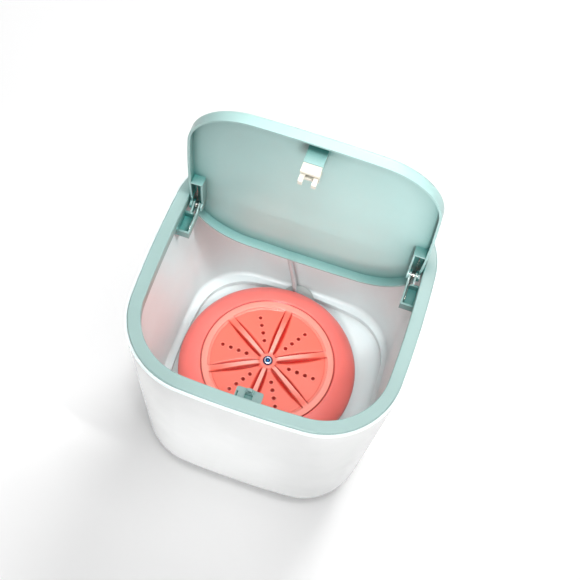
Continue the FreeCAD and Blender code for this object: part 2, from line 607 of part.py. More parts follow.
def turbine_lower_housing():
    body = revolved("turbine_lower_housing", [
        ("0", "bottom_z"), ("38", "bottom_z"), ("41", "bottom_z + 0.8"), ("55.4", "46.2"),
        ("57.3", "46.5"), ("dome_radius", "46.8"), ("dome_radius", "dome_low_z - gasket"),
        ("dome_radius - 2.6", "dome_low_z - gasket"), ("dome_radius - 2.6", "dome_low_z + 1.6"),
        ("dome_radius - 3.8", "dome_low_z + 1.6"), ("dome_radius - 4", "48.4"),
        ("54.6", "48.2"), ("40.4", "36.8"), ("38", "floor_top_z"),
        ("8", "floor_top_z"), ("8", "bush_top_z"), ("bush_radius", "bush_top_z"),
        ("bush_radius", "floor_top_z"), ("0", "floor_top_z")], *UNIT)
    rounds(body, "screw_boss", "bottom_z + 1", "screw_ring", POST_ANGLES, ("4.4",),
           "38.5 - bottom_z - 1")
    rounds(body, "screw_bore", "bottom_z - 1", "screw_ring", POST_ANGLES, ("1.7",), "6", "Pocket")
    rounds(body, "head_well", "bottom_z - 1", "screw_ring", POST_ANGLES, ("3",), "3.3", "Pocket")
    rounds(body, "cup_boss", "38.6", "cup_ring", CUP_ANGLES, ("4.2",), "3.6")
    rounds(body, "cup_socket", "bottom_z - 1", "cup_ring", CUP_ANGLES, ("cup_bore",), "8.2",
           "Pocket")
    ring = new_sketch(body, "motor_ring", lift="bottom_z + 1")
    circle(ring, "motor_x", "0", "motor_radius + 0.05")
    circle(ring, "motor_x", "0", "motor_radius + 1.3")
    pad(body, "motor_ring_wall", ring, "6")
    for k, (x, y) in enumerate(BOARD_POSTS):
        peg = new_sketch(body, "board_post_%d" % k, lift="bottom_z + 1")
        circle(peg, x, y, "1.5")
        pad(body, "board_post_peg_%d" % k, peg, "board_z - bottom_z - 1")
    ear = new_sketch(body, "rear_ear", lift="40.8")
    rectangle(ear, "rear_cup_x - 3.4", "rear_cup_x + 3.4", "47", "rear_cup_y + 3.2")
    pad(body, "rear_ear_plate", ear, "1.8")
    bore = new_sketch(body, "rear_cup_bore", lift="39.2")
    circle(bore, "rear_cup_x", "rear_cup_y", "cup_bore")
    pocket(body, "rear_cup_socket", bore, "3.1", Reversed=True)
    exit_block = new_sketch(body, "cord_block", lift="41.4")
    rectangle(exit_block, "-4.2", "4.2", "49", "cord_exit_y - 0.6")
    pad(body, "cord_exit_block", exit_block, "46.8 - 41.4")
    hole = new_sketch(body, "gland_hole", "XZ_Plane", lift="-cord_exit_y - 1")
    circle(hole, "0", "cord_exit_z", "gland_radius")
    pocket(body, "gland_bore", hole, "7.5", Reversed=True)


def housing_gasket():
    body = new_body("housing_gasket")
    ring = new_sketch(body, "ring", lift="dome_low_z - gasket")
    circle(ring, "0", "0", "dome_radius - 0.3")
    circle(ring, "0", "0", "dome_radius - 2.2")
    pad(body, "seal", ring, "gasket")
    place(body, *UNIT)


def housing_screws():
    """Four self-tapping screws from below, one group of separate solids."""
    pieces = []
    for k, angle in enumerate(POST_ANGLES):
        x, y = on_ring("screw_ring", angle)
        spot = ("unit_x + " + x, "unit_y + " + y)
        head = cylinder("screw_head_%d" % k, *spot, "34.5", "2.7", "36.3 - 34.5")
        shank = cylinder("screw_shank_%d" % k, *spot, "36", "1.2", "13")
        slot = box("screw_slot_%d" % k, (spot[0] + " - 2", spot[0] + " + 2"),
                   (spot[1] + " - 0.35", spot[1] + " + 0.35"), ("34", "35.4"))
        pieces.append(cut("screw_%d" % k, fuse("screw_solid_%d" % k, [head, shank]), slot))
    keep(fuse("housing_screws", pieces), "housing_screws")


def rotor():
    body = revolved("rotor", [
        ("spindle_radius", "rotor_low_z - 0.5"), ("5.5", "rotor_low_z - 0.5"),
        ("5.5", "rotor_low_z"), ("rotor_radius", "rotor_low_z"),
        ("rotor_radius", "rotor_z + 0.6"), ("rotor_radius - 0.4", "rotor_z + 1"),
        ("rotor_radius - 3.8", "rotor_z + 1"), ("rotor_radius - 4.6", "rotor_z + 0.2"),
        ("rotor_radius - 4.8", "rotor_z"), ("9", "rotor_z"), ("6.5", "spindle_top - 0.4"),
        ("5.2", "spindle_top"), ("spindle_radius", "spindle_top")], *UNIT)
    rib = new_sketch(body, "rib", "XZ_Plane")
    polygon(rib, [("4.5", "rotor_z - 1"), ("4.5", "spindle_top - 0.2"), ("8", "rotor_z + 2.6"),
                  ("14", "rotor_z + 2.6"), ("39", "rotor_z + 0.9"),
                  ("rotor_radius - 4.2", "rotor_z + 0.9"), ("rotor_radius - 4.2", "rotor_z - 1")])
    blade = pad(body, "blade", rib, "3", Midplane=True)
    polar(body, blade, "6")
    holes = new_sketch(body, "holes", lift="rotor_low_z - 1")
    for radius in HOLE_RINGS:
        circle(holes, *on_ring(radius, 30), "1.1")
    drilled = pocket(body, "drain_holes", holes, "6", Reversed=True)
    polar(body, drilled, "6")
    bind(body, "Placement.Rotation.Angle", "blade_turn * 1 deg")


def rotor_screw():
    revolved("rotor_screw", [
        ("0", "53"), ("1.2", "53"), ("1.2", "spindle_top"), ("3.3", "spindle_top"),
        ("3.3", "spindle_top + 0.8"), ("2.9", "spindle_top + 1.2"),
        ("1.5", "spindle_top + 1.2"), ("1.5", "spindle_top + 0.4"),
        ("0", "spindle_top + 0.4")], *UNIT)


def spindle():
    revolved("spindle", [
        ("0", "floor_top_z + 1.1"), ("spindle_radius - 0.3", "floor_top_z + 1.1"),
        ("spindle_radius", "floor_top_z + 1.4"), ("spindle_radius", "spindle_top"),
        ("1.25", "spindle_top"), ("1.25", "52"), ("0", "52")], *UNIT)
    revolved("spindle_bush_lower", [
        ("0", "floor_top_z"), ("bush_radius", "floor_top_z"), ("bush_radius", "bush_top_z"),
        ("bush_bore", "bush_top_z"), ("bush_bore", "floor_top_z + 1"),
        ("0", "floor_top_z + 1")], *UNIT)
    revolved("spindle_bush_upper", [
        ("bush_bore", "hub_low_z"), ("5", "hub_low_z"), ("5", "deck_z - 1.2"),
        ("bush_bore", "deck_z - 1.2")], *UNIT)
    revolved("shaft_seal", [
        ("bush_bore - 0.03", "deck_z - 1.2"), ("5", "deck_z - 1.2"), ("5", "deck_z"),
        ("3", "deck_z"), ("bush_bore - 0.03", "deck_z - 0.4")], *UNIT)


# ---------------------------------------------------------------- motor and gears

def gear(label, teeth, root, tip, bore, low, high, half_root, half_tip):
    """Spur gear: a blank with a bore and one flat-flanked tooth repeated round it."""
    body = new_body(label)
    blank = new_sketch(body, "blank", lift=low)
    circle(blank, "0", "0", root)
    circle(blank, "0", "0", bore)
    pad(body, "blank_disc", blank, "(%s) - (%s)" % (high, low))
    tooth = new_sketch(body, "tooth", lift=low)
    polygon(tooth, [(root + " - 0.15", "-" + half_root), (tip, "-" + half_tip),
                    (tip, half_tip), (root + " - 0.15", half_root)])
    made = pad(body, "tooth_block", tooth, "(%s) - (%s)" % (high, low))
    polar(body, made, teeth)
    return body


def gears():
    large = gear("drive_gear", "gear_teeth", "gear_root", "gear_tip", "spindle_radius",
                 "gear_low_z", "gear_top_z", "0.48", "0.2")
    place(large, *UNIT)
    small = gear("motor_pinion", "pinion_teeth", "pinion_root", "pinion_tip", "shaft_radius",
                 "gear_low_z - 0.2", "gear_top_z + 0.2", "0.45", "0.18")
    bind(small, "Placement.Rotation.Angle", "180 / pinion_teeth * 1 deg")
    place(small, *MOTOR)


def motor():
    revolved("motor_can", [
        ("motor_radius - 0.6", "motor_cap_z"), ("motor_radius", "motor_cap_z"),
        ("motor_radius", "motor_top_z - 0.5"), ("motor_radius - 0.5", "motor_top_z"),
        ("3", "motor_top_z"), ("3", "motor_top_z + 0.6"), ("shaft_radius + 0.05", "motor_top_z + 0.6"),
        ("shaft_radius + 0.05", "motor_top_z - 0.6"), ("motor_radius - 0.6", "motor_top_z - 0.6")],
        *MOTOR)
    revolved("motor_end_cap", [
        ("0", "floor_top_z"), ("motor_radius", "floor_top_z"), ("motor_radius", "motor_cap_z"),
        ("motor_radius - 0.6", "motor_cap_z"), ("motor_radius - 0.6", "motor_cap_z + 0.6"),
        ("motor_radius - 1.4", "motor_cap_z + 0.6"), ("motor_radius - 1.4", "motor_cap_z"),
        ("shaft_radius + 0.05", "motor_cap_z"), ("shaft_radius + 0.05", "floor_top_z + 0.8"),
        ("0", "floor_top_z + 0.8")], *MOTOR)
    ring = revolved("motor_magnets", [
        ("9.8", "motor_cap_z + 1"), ("motor_radius - 0.6", "motor_cap_z + 1"),
        ("motor_radius - 0.6", "motor_top_z - 1"), ("9.8", "motor_top_z - 1")], *MOTOR)
    gap = new_sketch(ring, "pole_gap", lift="motor_cap_z")
    rectangle(gap, "-3", "3", "-13", "13")
    pocket(ring, "pole_gap_cut", gap, "12", Reversed=True)
    revolved("motor_shaft", [
        ("0", "floor_top_z + 0.9"), ("shaft_radius", "floor_top_z + 0.9"),
        ("shaft_radius", "gear_top_z + 0.7"), ("0", "gear_top_z + 0.7")], *MOTOR)
    core = revolved("motor_armature", [
        ("shaft_radius", "motor_cap_z + 1"), ("9.4", "motor_cap_z + 1"),
        ("9.4", "motor_top_z - 1.4"), ("shaft_radius", "motor_top_z - 1.4")], *MOTOR)
    slot = new_sketch(core, "slot", lift="motor_cap_z")
    rectangle(slot, "3.4", "11", "-1.6", "1.6")
    winding_slot = pocket(core, "winding_slot", slot, "12", Reversed=True)
    polar(core, winding_slot, "3")


def control_board():
    """Small drive board with its three tallest components, one rigid piece."""
    spots = [("14", "22", "-6", "2", "4.2"), ("24", "31", "-5", "1", "2.4"),
             ("25", "29", "3.5", "7.5", "5")]
    pieces = [box("board_plate", ("unit_x + 12", "unit_x + 36"), ("-9", "9"),
                  ("board_z", "board_z + 1.2"))]
    for k, (x_low, x_high, y_low, y_high, tall) in enumerate(spots):
        pieces.append(box("board_component_%d" % k, ("unit_x + " + x_low, "unit_x + " + x_high),
                          (y_low, y_high), ("board_z + 1", "board_z + 1.2 + " + tall)))
    keep(fuse("control_board", pieces), "control_board")


# ---------------------------------------------------------------- suction cups

def cup_disc(name, x, y, low):
    """Shallow bell with its lip's plane at a height, hollow underneath."""
    body = revolved(name, [
        ("0", "1"), ("8", "0.6"), ("cup_radius", "0"), ("cup_radius", "0.5"), ("9", "1.4"),
        ("4.5", "2.4"), ("cup_neck", "2.9"), ("0", "2.9")])
    parts.remove(body)
    return place(body, x, y, low)


def suction_cups():
    pieces = []
    for k, angle in enumerate(CUP_ANGLES):
        x, y = on_ring("cup_ring", angle)
        spot = ("unit_x + " + x, "unit_y + " + y)
        neck = cylinder("cup_stem_%d" % k, *spot, "floor_z + 2.5", "cup_neck", "41 - floor_z - 2.5")
        pieces.append(fuse("cup_%d" % k, [cup_disc("cup_bell_%d" % k, *spot, "floor_z"), neck]))
    spot = ("unit_x + rear_cup_x", "unit_y + rear_cup_y")
    bell = cup_disc("cup_bell_rear", *spot, "rear_cup_z")
    bell.Placement.Rotation = FreeCAD.Rotation(X_AXIS, number("rear_cup_tilt"))
    bind(bell, "Placement.Rotation.Angle", "rear_cup_tilt * 1 deg")
    neck = cylinder("cup_stem_rear", *spot, "rear_cup_z + 1.6", "cup_neck", "42.2 - rear_cup_z - 1.6")
    pieces.append(fuse("cup_rear", [bell, neck]))
    keep(fuse("suction_cups", pieces), "suction_cups")


# ---------------------------------------------------------------- supply lead

def tube(label, route):
    """Round tube of straight runs and tangent arcs along hand-set points."""
    spots = [FreeCAD.Vector(*spot) for spot in route]
    edges = []
    start = spots[0]
    tightest = None
    for before, corner, after in zip(spots, spots[1:], spots[2:]):
        back = before - corner
        ahead = after - corner
        half_turn = (math.pi - back.getAngle(ahead)) / 2
        reach = 0.45 * min(back.Length, ahead.Length)
        radius = reach / math.tan(half_turn)
        tightest = min(radius, tightest or radius)
        entry = corner + back.normalize() * reach
        leave = corner + ahead.normalize() * reach
        middle = corner + (back + ahead).normalize() * (radius / math.cos(half_turn) - radius)
        edges.append(Part.LineSegment(start, entry).toShape())
        edges.append(Part.Arc(entry, middle, leave).toShape())
        start = leave
        print("%s bend radius %.1f" % (label, radius))
    edges.append(Part.LineSegment(start, spots[-1]).toShape())
    path = Part.Wire(edges)
    radius = number("cord_radius")
    section = Part.Wire(Part.Circle(spots[0], spots[1] - spots[0], radius).toShape())
    solid = path.makePipeShell([section], True, False)
    expected = math.pi * radius ** 2 * path.Length
    if abs(solid.Volume / expected - 1) > 0.01:
        raise ValueError("%s: volume %.0f, section times length %.0f" % (label, solid.Volume, expected))
    print("%s length %.1f, volume ratio %.4f" % (label, path.Length, solid.Volume / expected))
    shaped(label, solid)


# from the gland up inside the tub, out through the rim's notch, down behind the
# tub and along the table into the coil
CORD_ROUTE = [
    (-4.5, 56.8, 44.6), (-4.6, 64.6, 44.6), (-6.6, 64.9, 58.5), (-12.0, 66.4, 84.0),
    (-17.6, 67.5, 112.0), (-21.6, 71.5, 138.0), (-22.6, 77.9, 162.0), (-22.5, 77.9, 190.0),
    (-22.6, 102.0, 190.0), (-22.8, 100.8, 166.0), (-23.0, 98.6, 136.0), (-23.2, 97.3, 102.0),
    (-23.3, 97.0, 66.0), (-23.4, 97.6, 34.0), (-23.5, 99.2, 1.75), (-23.5, 122.0, 2.35),
]
TAIL_ROUTE = [
    (23.5, 120.5, 5.4), (24.2, 110.0, 3.2), (31.5, 103.2, 3.4), (42.0, 103.0, 3.75),
]


def supply_lead():
    gland = cylinder("gland_sleeve", "unit_x", "cord_exit_y - 6.5", "cord_exit_z", "gland_radius",
                     "6.5", FreeCAD.Vector(0, 1, 0))
    keep(gland, "cord_gland")
    tube("power_cord", CORD_ROUTE)
    tube("power_cord_tail", TAIL_ROUTE)
    coil = new_body("power_cord_coil")
    ring = new_sketch(coil, "ring", lift="hank_low")
    circle(ring, "0", "hank_y", "hank_out")
    circle(ring, "0", "hank_y", "hank_in")
    pad(coil, "turns", ring, "hank_top - hank_low")
    tie_wall = "hank_low"
    depth = ("hank_y + hank_in - 2 * " + tie_wall, "hank_y + hank_out + " + tie_wall)
    band = box("tie_block", both("3"), depth,
               ("0", "hank_top + " + tie_wall))
    inside = box("tie_hollow", both("4"), ("hank_y + hank_in - " + tie_wall, "hank_y + hank_out"),
                 (tie_wall, "hank_top"))
    keep(cut("cord_tie", band, inside), "cord_tie")


def about_plug(half, axis="y"):
    """A stretch about the plug's own middle line."""
    return ("plug_%s - (%s)" % (axis, half), "plug_%s + (%s)" % (axis, half))


def usb_plug():
    body = new_body("usb_plug_body")
    boot = new_sketch(body, "boot", "YZ_Plane", lift="plug_x")
    circle(boot, "plug_y", "plug_z", "2.7")
    pad(body, "strain_relief", boot, "5")
    face = new_sketch(body, "face", "YZ_Plane", lift="plug_x + 4")
    rectangle(face, *about_plug("8"), *about_plug("3.75", "z"))
    grip = pad(body, "grip", face, "18")
    fillet(body, "grip_edges", grip, "1.6", along_x)
    mouth = new_sketch(body, "mouth", "YZ_Plane", lift="plug_x + 18")
    rectangle(mouth, *about_plug("6"), *about_plug("2.25", "z"))
    pocket(body, "shell_seat", mouth, "5", Reversed=True)

    block = box("shell_block", ("plug_x + 18", "plug_x + 34"), about_plug("6"), about_plug("2.25", "z"))
    hollow = box("shell_hollow", ("plug_x + 17", "plug_x + 35"), about_plug("5.7"),
                 about_plug("1.95", "z"))
    keep(cut("usb_plug_shell", block, hollow), "usb_plug_shell")
    tongue = box("usb_tongue", ("plug_x + 18", "plug_x + 33.5"), about_plug("5.6"),
                 ("plug_z + 0.1", "plug_z + 1.95"))
    keep(tongue, "usb_tongue")
    strips = [box("contact_%d" % k, ("plug_x + 23", "plug_x + 33"),
                  ("plug_y + (%s) - 0.5" % x, "plug_y + (%s) + 0.5" % x), ("plug_z", "plug_z + 0.1"))
              for k, x in enumerate(("-3.5", "-1", "1", "3.5"))]
    keep(fuse("usb_contacts", strips), "usb_contacts")


def along_x(edge):
    """A test for the straight edges that run the whole length of the plug's grip."""
    return abs(edge.BoundBox.XMax - edge.BoundBox.XMin) > 17


tub_outer_shell()
tub_liner()
rim_ring()
latch_strike()
lid()
hinge_hardware()
latch()
turbine_upper_housing()
turbine_lower_housing()
housing_gasket()
housing_screws()
rotor()
rotor_screw()
spindle()
gears()
motor()
control_board()
suction_cups()
supply_lead()
usb_plug()
doc.recompute()

for item in doc.Objects:
    if [word for word in item.State if word in ("Invalid", "Error")]:
        raise ValueError("%s failed: %s" % (item.Name, item.State))
for item in parts:
    if item.Shape.isNull() or not item.Shape.isValid():
        raise ValueError("%s has no valid shape" % item.Label)
os.makedirs("parts", exist_ok=True)
for item in parts:
    item.Shape.exportStep("parts/%s.step" % item.Label)
    box_now = item.Shape.BoundBox
    print("%-24s %2d solids %9.0f mm3  x %.1f %.1f  y %.1f %.1f  z %.1f %.1f" % (
        item.Label, len(item.Shape.Solids), item.Shape.Volume, box_now.XMin, box_now.XMax,
        box_now.YMin, box_now.YMax, box_now.ZMin, box_now.ZMax))
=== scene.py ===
import json
import math

import bmesh
import bpy
from mathutils import Matrix, Vector


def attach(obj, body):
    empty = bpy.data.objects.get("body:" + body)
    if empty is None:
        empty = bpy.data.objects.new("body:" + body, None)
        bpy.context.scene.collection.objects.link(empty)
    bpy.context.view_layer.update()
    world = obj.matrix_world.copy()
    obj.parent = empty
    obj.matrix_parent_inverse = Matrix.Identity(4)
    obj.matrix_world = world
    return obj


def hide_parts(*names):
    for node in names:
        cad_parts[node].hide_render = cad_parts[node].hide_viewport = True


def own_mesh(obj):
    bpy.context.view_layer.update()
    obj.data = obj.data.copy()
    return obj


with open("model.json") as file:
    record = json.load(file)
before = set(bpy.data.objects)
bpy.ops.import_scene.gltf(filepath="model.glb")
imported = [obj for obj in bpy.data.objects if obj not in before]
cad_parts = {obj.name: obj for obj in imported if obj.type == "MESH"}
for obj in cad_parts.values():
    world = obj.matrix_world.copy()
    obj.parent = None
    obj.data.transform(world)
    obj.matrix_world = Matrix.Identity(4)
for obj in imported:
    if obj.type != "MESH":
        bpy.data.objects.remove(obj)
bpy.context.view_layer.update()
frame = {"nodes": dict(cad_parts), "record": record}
nodes = frame["nodes"]
MM = 0.001
UNIT = (-4.5, 0.0)


def mm(*values):
    return Vector([value * MM for value in values])


# ---------------------------------------------------------------- materials

def new_material(name):
    """A node material with its principled shader, and a helper that adds and links nodes."""
    made = bpy.data.materials.new(name)
    made.use_nodes = True
    tree = made.node_tree
    shader = tree.nodes["Principled BSDF"]

    def add(kind, inputs=None, **settings):
        node = tree.nodes.new("ShaderNode" + kind)
        for key, value in settings.items():
            setattr(node, key, value)
        for key, value in (inputs or {}).items():
            if isinstance(value, bpy.types.NodeSocket):
                tree.links.new(value, node.inputs[key])
            else:
                node.inputs[key].default_value = value
        return node

    return made, tree, shader, add


def rgb(text):
    """A colour written as web hex, in the linear values that nodes use."""
    parts = [int(text[k:k + 2], 16) / 255 for k in (1, 3, 5)]
    return [c / 12.92 if c <= 0.04045 else ((c + 0.055) / 1.055) ** 2.4 for c in parts] + [1]


def plastic(name, light, dark, roughness=0.3, coat=0.3, shade_distance=0.006, grain=0.05, sub=0.0,
            near=0.25, far=0.85):
    """Moulded plastic: painted shade darkens the colour in corners and creases, faint mottling,
    fine surface grain.
    """
    made, tree, shader, add = new_material(name)
    place = add("TexCoord").outputs["Object"]
    # Painted shade: the second colour is mixed in where other surfaces close in nearby, as shade
    # falls in corners.
    shade_occlusion = add("AmbientOcclusion", {"Distance": shade_distance}, samples=8)
    cloud = add("TexNoise", {"Vector": place, "Scale": 38.0, "Detail": 3.0})
    tone = add("ValToRGB", {"Fac": cloud.outputs["Fac"]})
    tone.color_ramp.elements[0].position = 0.3
    tone.color_ramp.elements[0].color = [c * 0.965 for c in rgb(light)[:3]] + [1]
    tone.color_ramp.elements[1].position = 0.7
    tone.color_ramp.elements[1].color = rgb(light)
    shade_ramp = add("ValToRGB", {"Fac": shade_occlusion.outputs["AO"]})
    shade_ramp.color_ramp.elements[0].position = near
    shade_ramp.color_ramp.elements[1].position = far
    mix = add("Mix", {"Factor": shade_ramp.outputs["Color"], "A": rgb(dark), "B": tone.outputs["Color"]},
              data_type="RGBA")
    tree.links.new(mix.outputs["Result"], shader.inputs["Base Color"])
    rough = add("MapRange", {"Value": cloud.outputs["Fac"], "To Min": roughness - 0.05,
                             "To Max": roughness + 0.05})
    tree.links.new(rough.outputs["Result"], shader.inputs["Roughness"])
    fine = add("TexNoise", {"Vector": place, "Scale": 2600.0, "Detail": 2.0})
    bump = add("Bump", {"Height": fine.outputs["Fac"], "Strength": grain, "Distance": 0.0002})
    tree.links.new(bump.outputs["Normal"], shader.inputs["Normal"])
    shader.inputs["Coat Weight"].default_value = coat
    shader.inputs["Coat Roughness"].default_value = 0.12
    shader.inputs["Subsurface Weight"].default_value = sub
    shader.inputs["Subsurface Scale"].default_value = 0.002
    return made


def metal(name, colour, roughness=0.25, stretch=(1, 1, 1)):
    """Bright metal with fine drawn or turned marks."""
    made, tree, shader, add = new_material(name)
    place = add("TexCoord").outputs["Object"]
    aim = add("Mapping", {"Vector": place, "Scale": stretch})
    marks = add("TexNoise", {"Vector": aim.outputs["Vector"], "Scale": 900.0, "Detail": 4.0})
    rough = add("MapRange", {"Value": marks.outputs["Fac"], "To Min": roughness - 0.08,
                             "To Max": roughness + 0.12})
    tree.links.new(rough.outputs["Result"], shader.inputs["Roughness"])
    tone = add("ValToRGB", {"Fac": marks.outputs["Fac"]})
    tone.color_ramp.elements[0].color = [c * 0.8 for c in rgb(colour)[:3]] + [1]
    tone.color_ramp.elements[1].color = rgb(colour)
    tree.links.new(tone.outputs["Color"], shader.inputs["Base Color"])
    bump = add("Bump", {"Height": marks.outputs["Fac"], "Strength": 0.08, "Distance": 0.0001})
    tree.links.new(bump.outputs["Normal"], shader.inputs["Normal"])
    shader.inputs["Metallic"].default_value = 1
    return made


def silicone(name, colour):
    """Soft translucent rubber."""
    made, tree, shader, add = new_material(name)
    place = add("TexCoord").outputs["Object"]
    cloud = add("TexNoise", {"Vector": place, "Scale": 120.0, "Detail": 3.0})
    tone = add("ValToRGB", {"Fac": cloud.outputs["Fac"]})
    tone.color_ramp.elements[0].color = [c * 0.92 for c in rgb(colour)[:3]] + [1]
    tone.color_ramp.elements[1].color = rgb(colour)
    tree.links.new(tone.outputs["Color"], shader.inputs["Base Color"])
    rough = add("MapRange", {"Value": cloud.outputs["Fac"], "To Min": 0.28, "To Max": 0.42})
    tree.links.new(rough.outputs["Result"], shader.inputs["Roughness"])
    shader.inputs["Transmission Weight"].default_value = 0.12
    shader.inputs["IOR"].default_value = 1.41
    shader.inputs["Coat Weight"].default_value = 0.2
    return made


# Each plastic's second colour is its painted shade, mixed in at corners and creases.
MATERIALS = {
    "tub_white": plastic("tub_white", "#D3D4D4", "#A8A9AA", roughness=0.25, coat=0.4,
                         shade_distance=0.012),
    "liner_white": plastic("liner_white", "#E5F1F2", "#CFD6D6", roughness=0.35, coat=0.2,
                           shade_distance=0.006),
    "mint": plastic("mint", "#A0C0BD", "#256E69", roughness=0.36, coat=0.2, shade_distance=0.016,
                    near=0.3, far=0.98),
    "ivory": plastic("ivory", "#CCC8BC", "#7E7463", roughness=0.4, coat=0.1, shade_distance=0.002),
    "coral": plastic("coral", "#F2776F", "#B8140C", roughness=0.34, coat=0.2, shade_distance=0.003,
                     sub=0.1),
    "bright_steel": metal("bright_steel", "#D9D6D2", 0.22),
    "screw_steel": metal("screw_steel", "#E4E6EA", 0.18),
    "bearing_bronze": metal("bearing_bronze", "#B98549", 0.35),
    "gear_nylon": plastic("gear_nylon", "#E9E6DA", "#8C8878", roughness=0.45, coat=0.0),
    "seal_rubber": plastic("seal_rubber", "#202124", "#0A0A0B", roughness=0.7, coat=0.0, grain=0.2),
    "cup_silicone": silicone("cup_silicone", "#B9C2C0"),
    "magnet": metal("magnet", "#3A3A3C", 0.6),
    "armature_iron": metal("armature_iron", "#5A5A5E", 0.5),
    "board_green": plastic("board_green", "#1F6B3C", "#0B2A18", roughness=0.4, coat=0.4),
    "cord_jacket": plastic("cord_jacket", "#C4D2D4", "#8C9495", roughness=0.4, coat=0.2,
                           shade_distance=0.003),
    "plug_white": plastic("plug_white", "#EFEFEC", "#8F908E", roughness=0.35),
    "plug_insulator": plastic("plug_insulator", "#F1F1EF", "#7D7D7B", roughness=0.5, coat=0.0),
    "contact_gold": metal("contact_gold", "#E0B050", 0.2),
    "tie_black": plastic("tie_black", "#1B1B1D", "#070707", roughness=0.6, coat=0.0, grain=0.3),
}


def disc_plastic(name, light, painted_highlight, deep, dark):
    """Coral of the washing disc: a lighter painted highlight on the high ribs and over the rim
    band, deep red painted shade in the hollows, darker red painted shade in close corners.
    """
    made, tree, shader, add = new_material(name)
    place = add("TexCoord").outputs["Object"]
    # Painted shade: a darker red is mixed in where other surfaces close in nearby.
    shade_occlusion = add("AmbientOcclusion", {"Distance": 0.0032}, samples=8)
    shade_ramp = add("ValToRGB", {"Fac": shade_occlusion.outputs["AO"]})
    shade_ramp.color_ramp.elements[0].position = 0.3
    shade_ramp.color_ramp.elements[1].position = 0.86
    # Painted highlight: the higher the surface, the lighter its coral, so the rib tops look lit.
    high = add("SeparateXYZ", {"Vector": place})
    lift = add("MapRange", {"Value": high.outputs["Z"], "From Min": 0.0612, "From Max": 0.0627,
                            "To Min": 0.0, "To Max": 0.75})
    tone = add("Mix", {"Factor": lift.outputs["Result"], "A": rgb(light), "B": rgb(painted_highlight)},
               data_type="RGBA")
    # Painted shade: the hollows blend to deep red from 59.95 mm height down to 58.9 mm.
    hollow_shade_mask = add("MapRange", {"Value": high.outputs["Z"], "From Min": 0.0589, "From Max": 0.05995})
    hollow = add("Mix", {"Factor": hollow_shade_mask.outputs["Result"], "A": rgb(deep),
                         "B": tone.outputs["Result"]}, data_type="RGBA")
    # Painted highlight: the colour lightens from 39.2 mm from the axis outwards, fully from 41.2
    # mm, over the raised rim.
    arm = add("VectorMath", {0: place, 1: -mm(*UNIT, 0)}, operation="ADD")
    flat = add("VectorMath", {0: arm.outputs["Vector"], 1: (1, 1, 0)}, operation="MULTIPLY")
    reach = add("VectorMath", {0: flat.outputs["Vector"]}, operation="LENGTH")
    rim_highlight_mask = add("MapRange", {"Value": reach.outputs["Value"], "From Min": 0.0392, "From Max": 0.0412,
                            "To Min": 0.0, "To Max": 0.4})
    rim = add("Mix", {"Factor": rim_highlight_mask.outputs["Result"], "A": hollow.outputs["Result"],
                      "B": rgb(painted_highlight)}, data_type="RGBA")
    mix = add("Mix", {"Factor": shade_ramp.outputs["Color"], "A": rgb(dark),
                      "B": rim.outputs["Result"]}, data_type="RGBA")
    tree.links.new(mix.outputs["Result"], shader.inputs["Base Color"])
    cloud = add("TexNoise", {"Vector": place, "Scale": 60.0, "Detail": 3.0})
    rough = add("MapRange", {"Value": cloud.outputs["Fac"], "To Min": 0.26, "To Max": 0.36})
    tree.links.new(rough.outputs["Result"], shader.inputs["Roughness"])
    shader.inputs["Coat Weight"].default_value = 0.3
    shader.inputs["Coat Roughness"].default_value = 0.15
    return made


# A darker copy of the mint for the rim ring and the strike shelf: the same plastic as the lid,
# darkened as painted shade to hold down the strong light on their tops.
MATERIALS["mint_shaded_copy"] = plastic("mint_shaded_copy", "#8BA4A1", "#256E69", roughness=0.38, coat=0.15,
                                shade_distance=0.010, near=0.3, far=0.97)
# The disc's colours: the coral, its painted highlight, the deep red painted shade of the hollows,
# the darker painted shade of close corners.
MATERIALS["disc"] = disc_plastic("disc", "#F0705F", "#FFB9AC", "#D8281C", "#A80C06")
# A slightly lighter copy of the disc coral for the lips round the drain holes, a painted highlight.
MATERIALS["disc_lip_highlight"] = plastic("disc_lip_highlight", "#F07F6F", "#D8402F", roughness=0.35, shade_distance=0.001)
MATERIALS["hub_ring"] = metal("hub_ring", "#C9CCE0", 0.25)
MATERIALS["hub_navy"] = metal("hub_navy", "#1E2A55", 0.35)
MATERIALS["hub_blue"] = plastic("hub_blue", "#2478B8", "#12457A", roughness=0.2, coat=0.6)
MATERIALS["spring_wire"] = metal("spring_wire", "#E2DED8", 0.2)
SLOT_OF = {row["node"]: row["material_slot"] for row in frame["record"]["subparts"]}

for node_name, cad_node in nodes.items():
    cad_node.data.materials.clear()
    cad_node.data.materials.append(MATERIALS[SLOT_OF[node_name]])


# ---------------------------------------------------------------- supply lead

CORD_ROUTE = [
    (-4.5, 56.8, 44.6), (-4.6, 64.6, 44.6), (-6.6, 64.9, 58.5), (-12.0, 66.4, 84.0),
    (-17.6, 67.5, 112.0), (-21.6, 71.5, 138.0), (-22.6, 77.9, 162.0), (-22.5, 77.9, 190.0),
    (-22.6, 102.0, 190.0), (-22.8, 100.8, 166.0), (-23.0, 98.6, 136.0), (-23.2, 97.3, 102.0),
    (-23.3, 97.0, 66.0), (-23.4, 97.6, 34.0), (-23.5, 99.2, 1.75), (-23.5, 118.0, 2.3),
]
TAIL_ROUTE = [
    (23.5, 120.5, 5.4), (24.2, 110.0, 3.2), (31.5, 103.2, 3.4), (42.0, 103.0, 3.75),
]
CORD_DIAMETER = 3.5
COIL_CENTRE = (0.0, 128.0)
COIL_LOW = 2.35
COIL_RADIUS = 23.3
COIL_TURNS = 6.5
INWARD_TURNS = 3.0
TURN_SPACING = CORD_DIAMETER * 0.8
POINTS_PER_TURN = 16


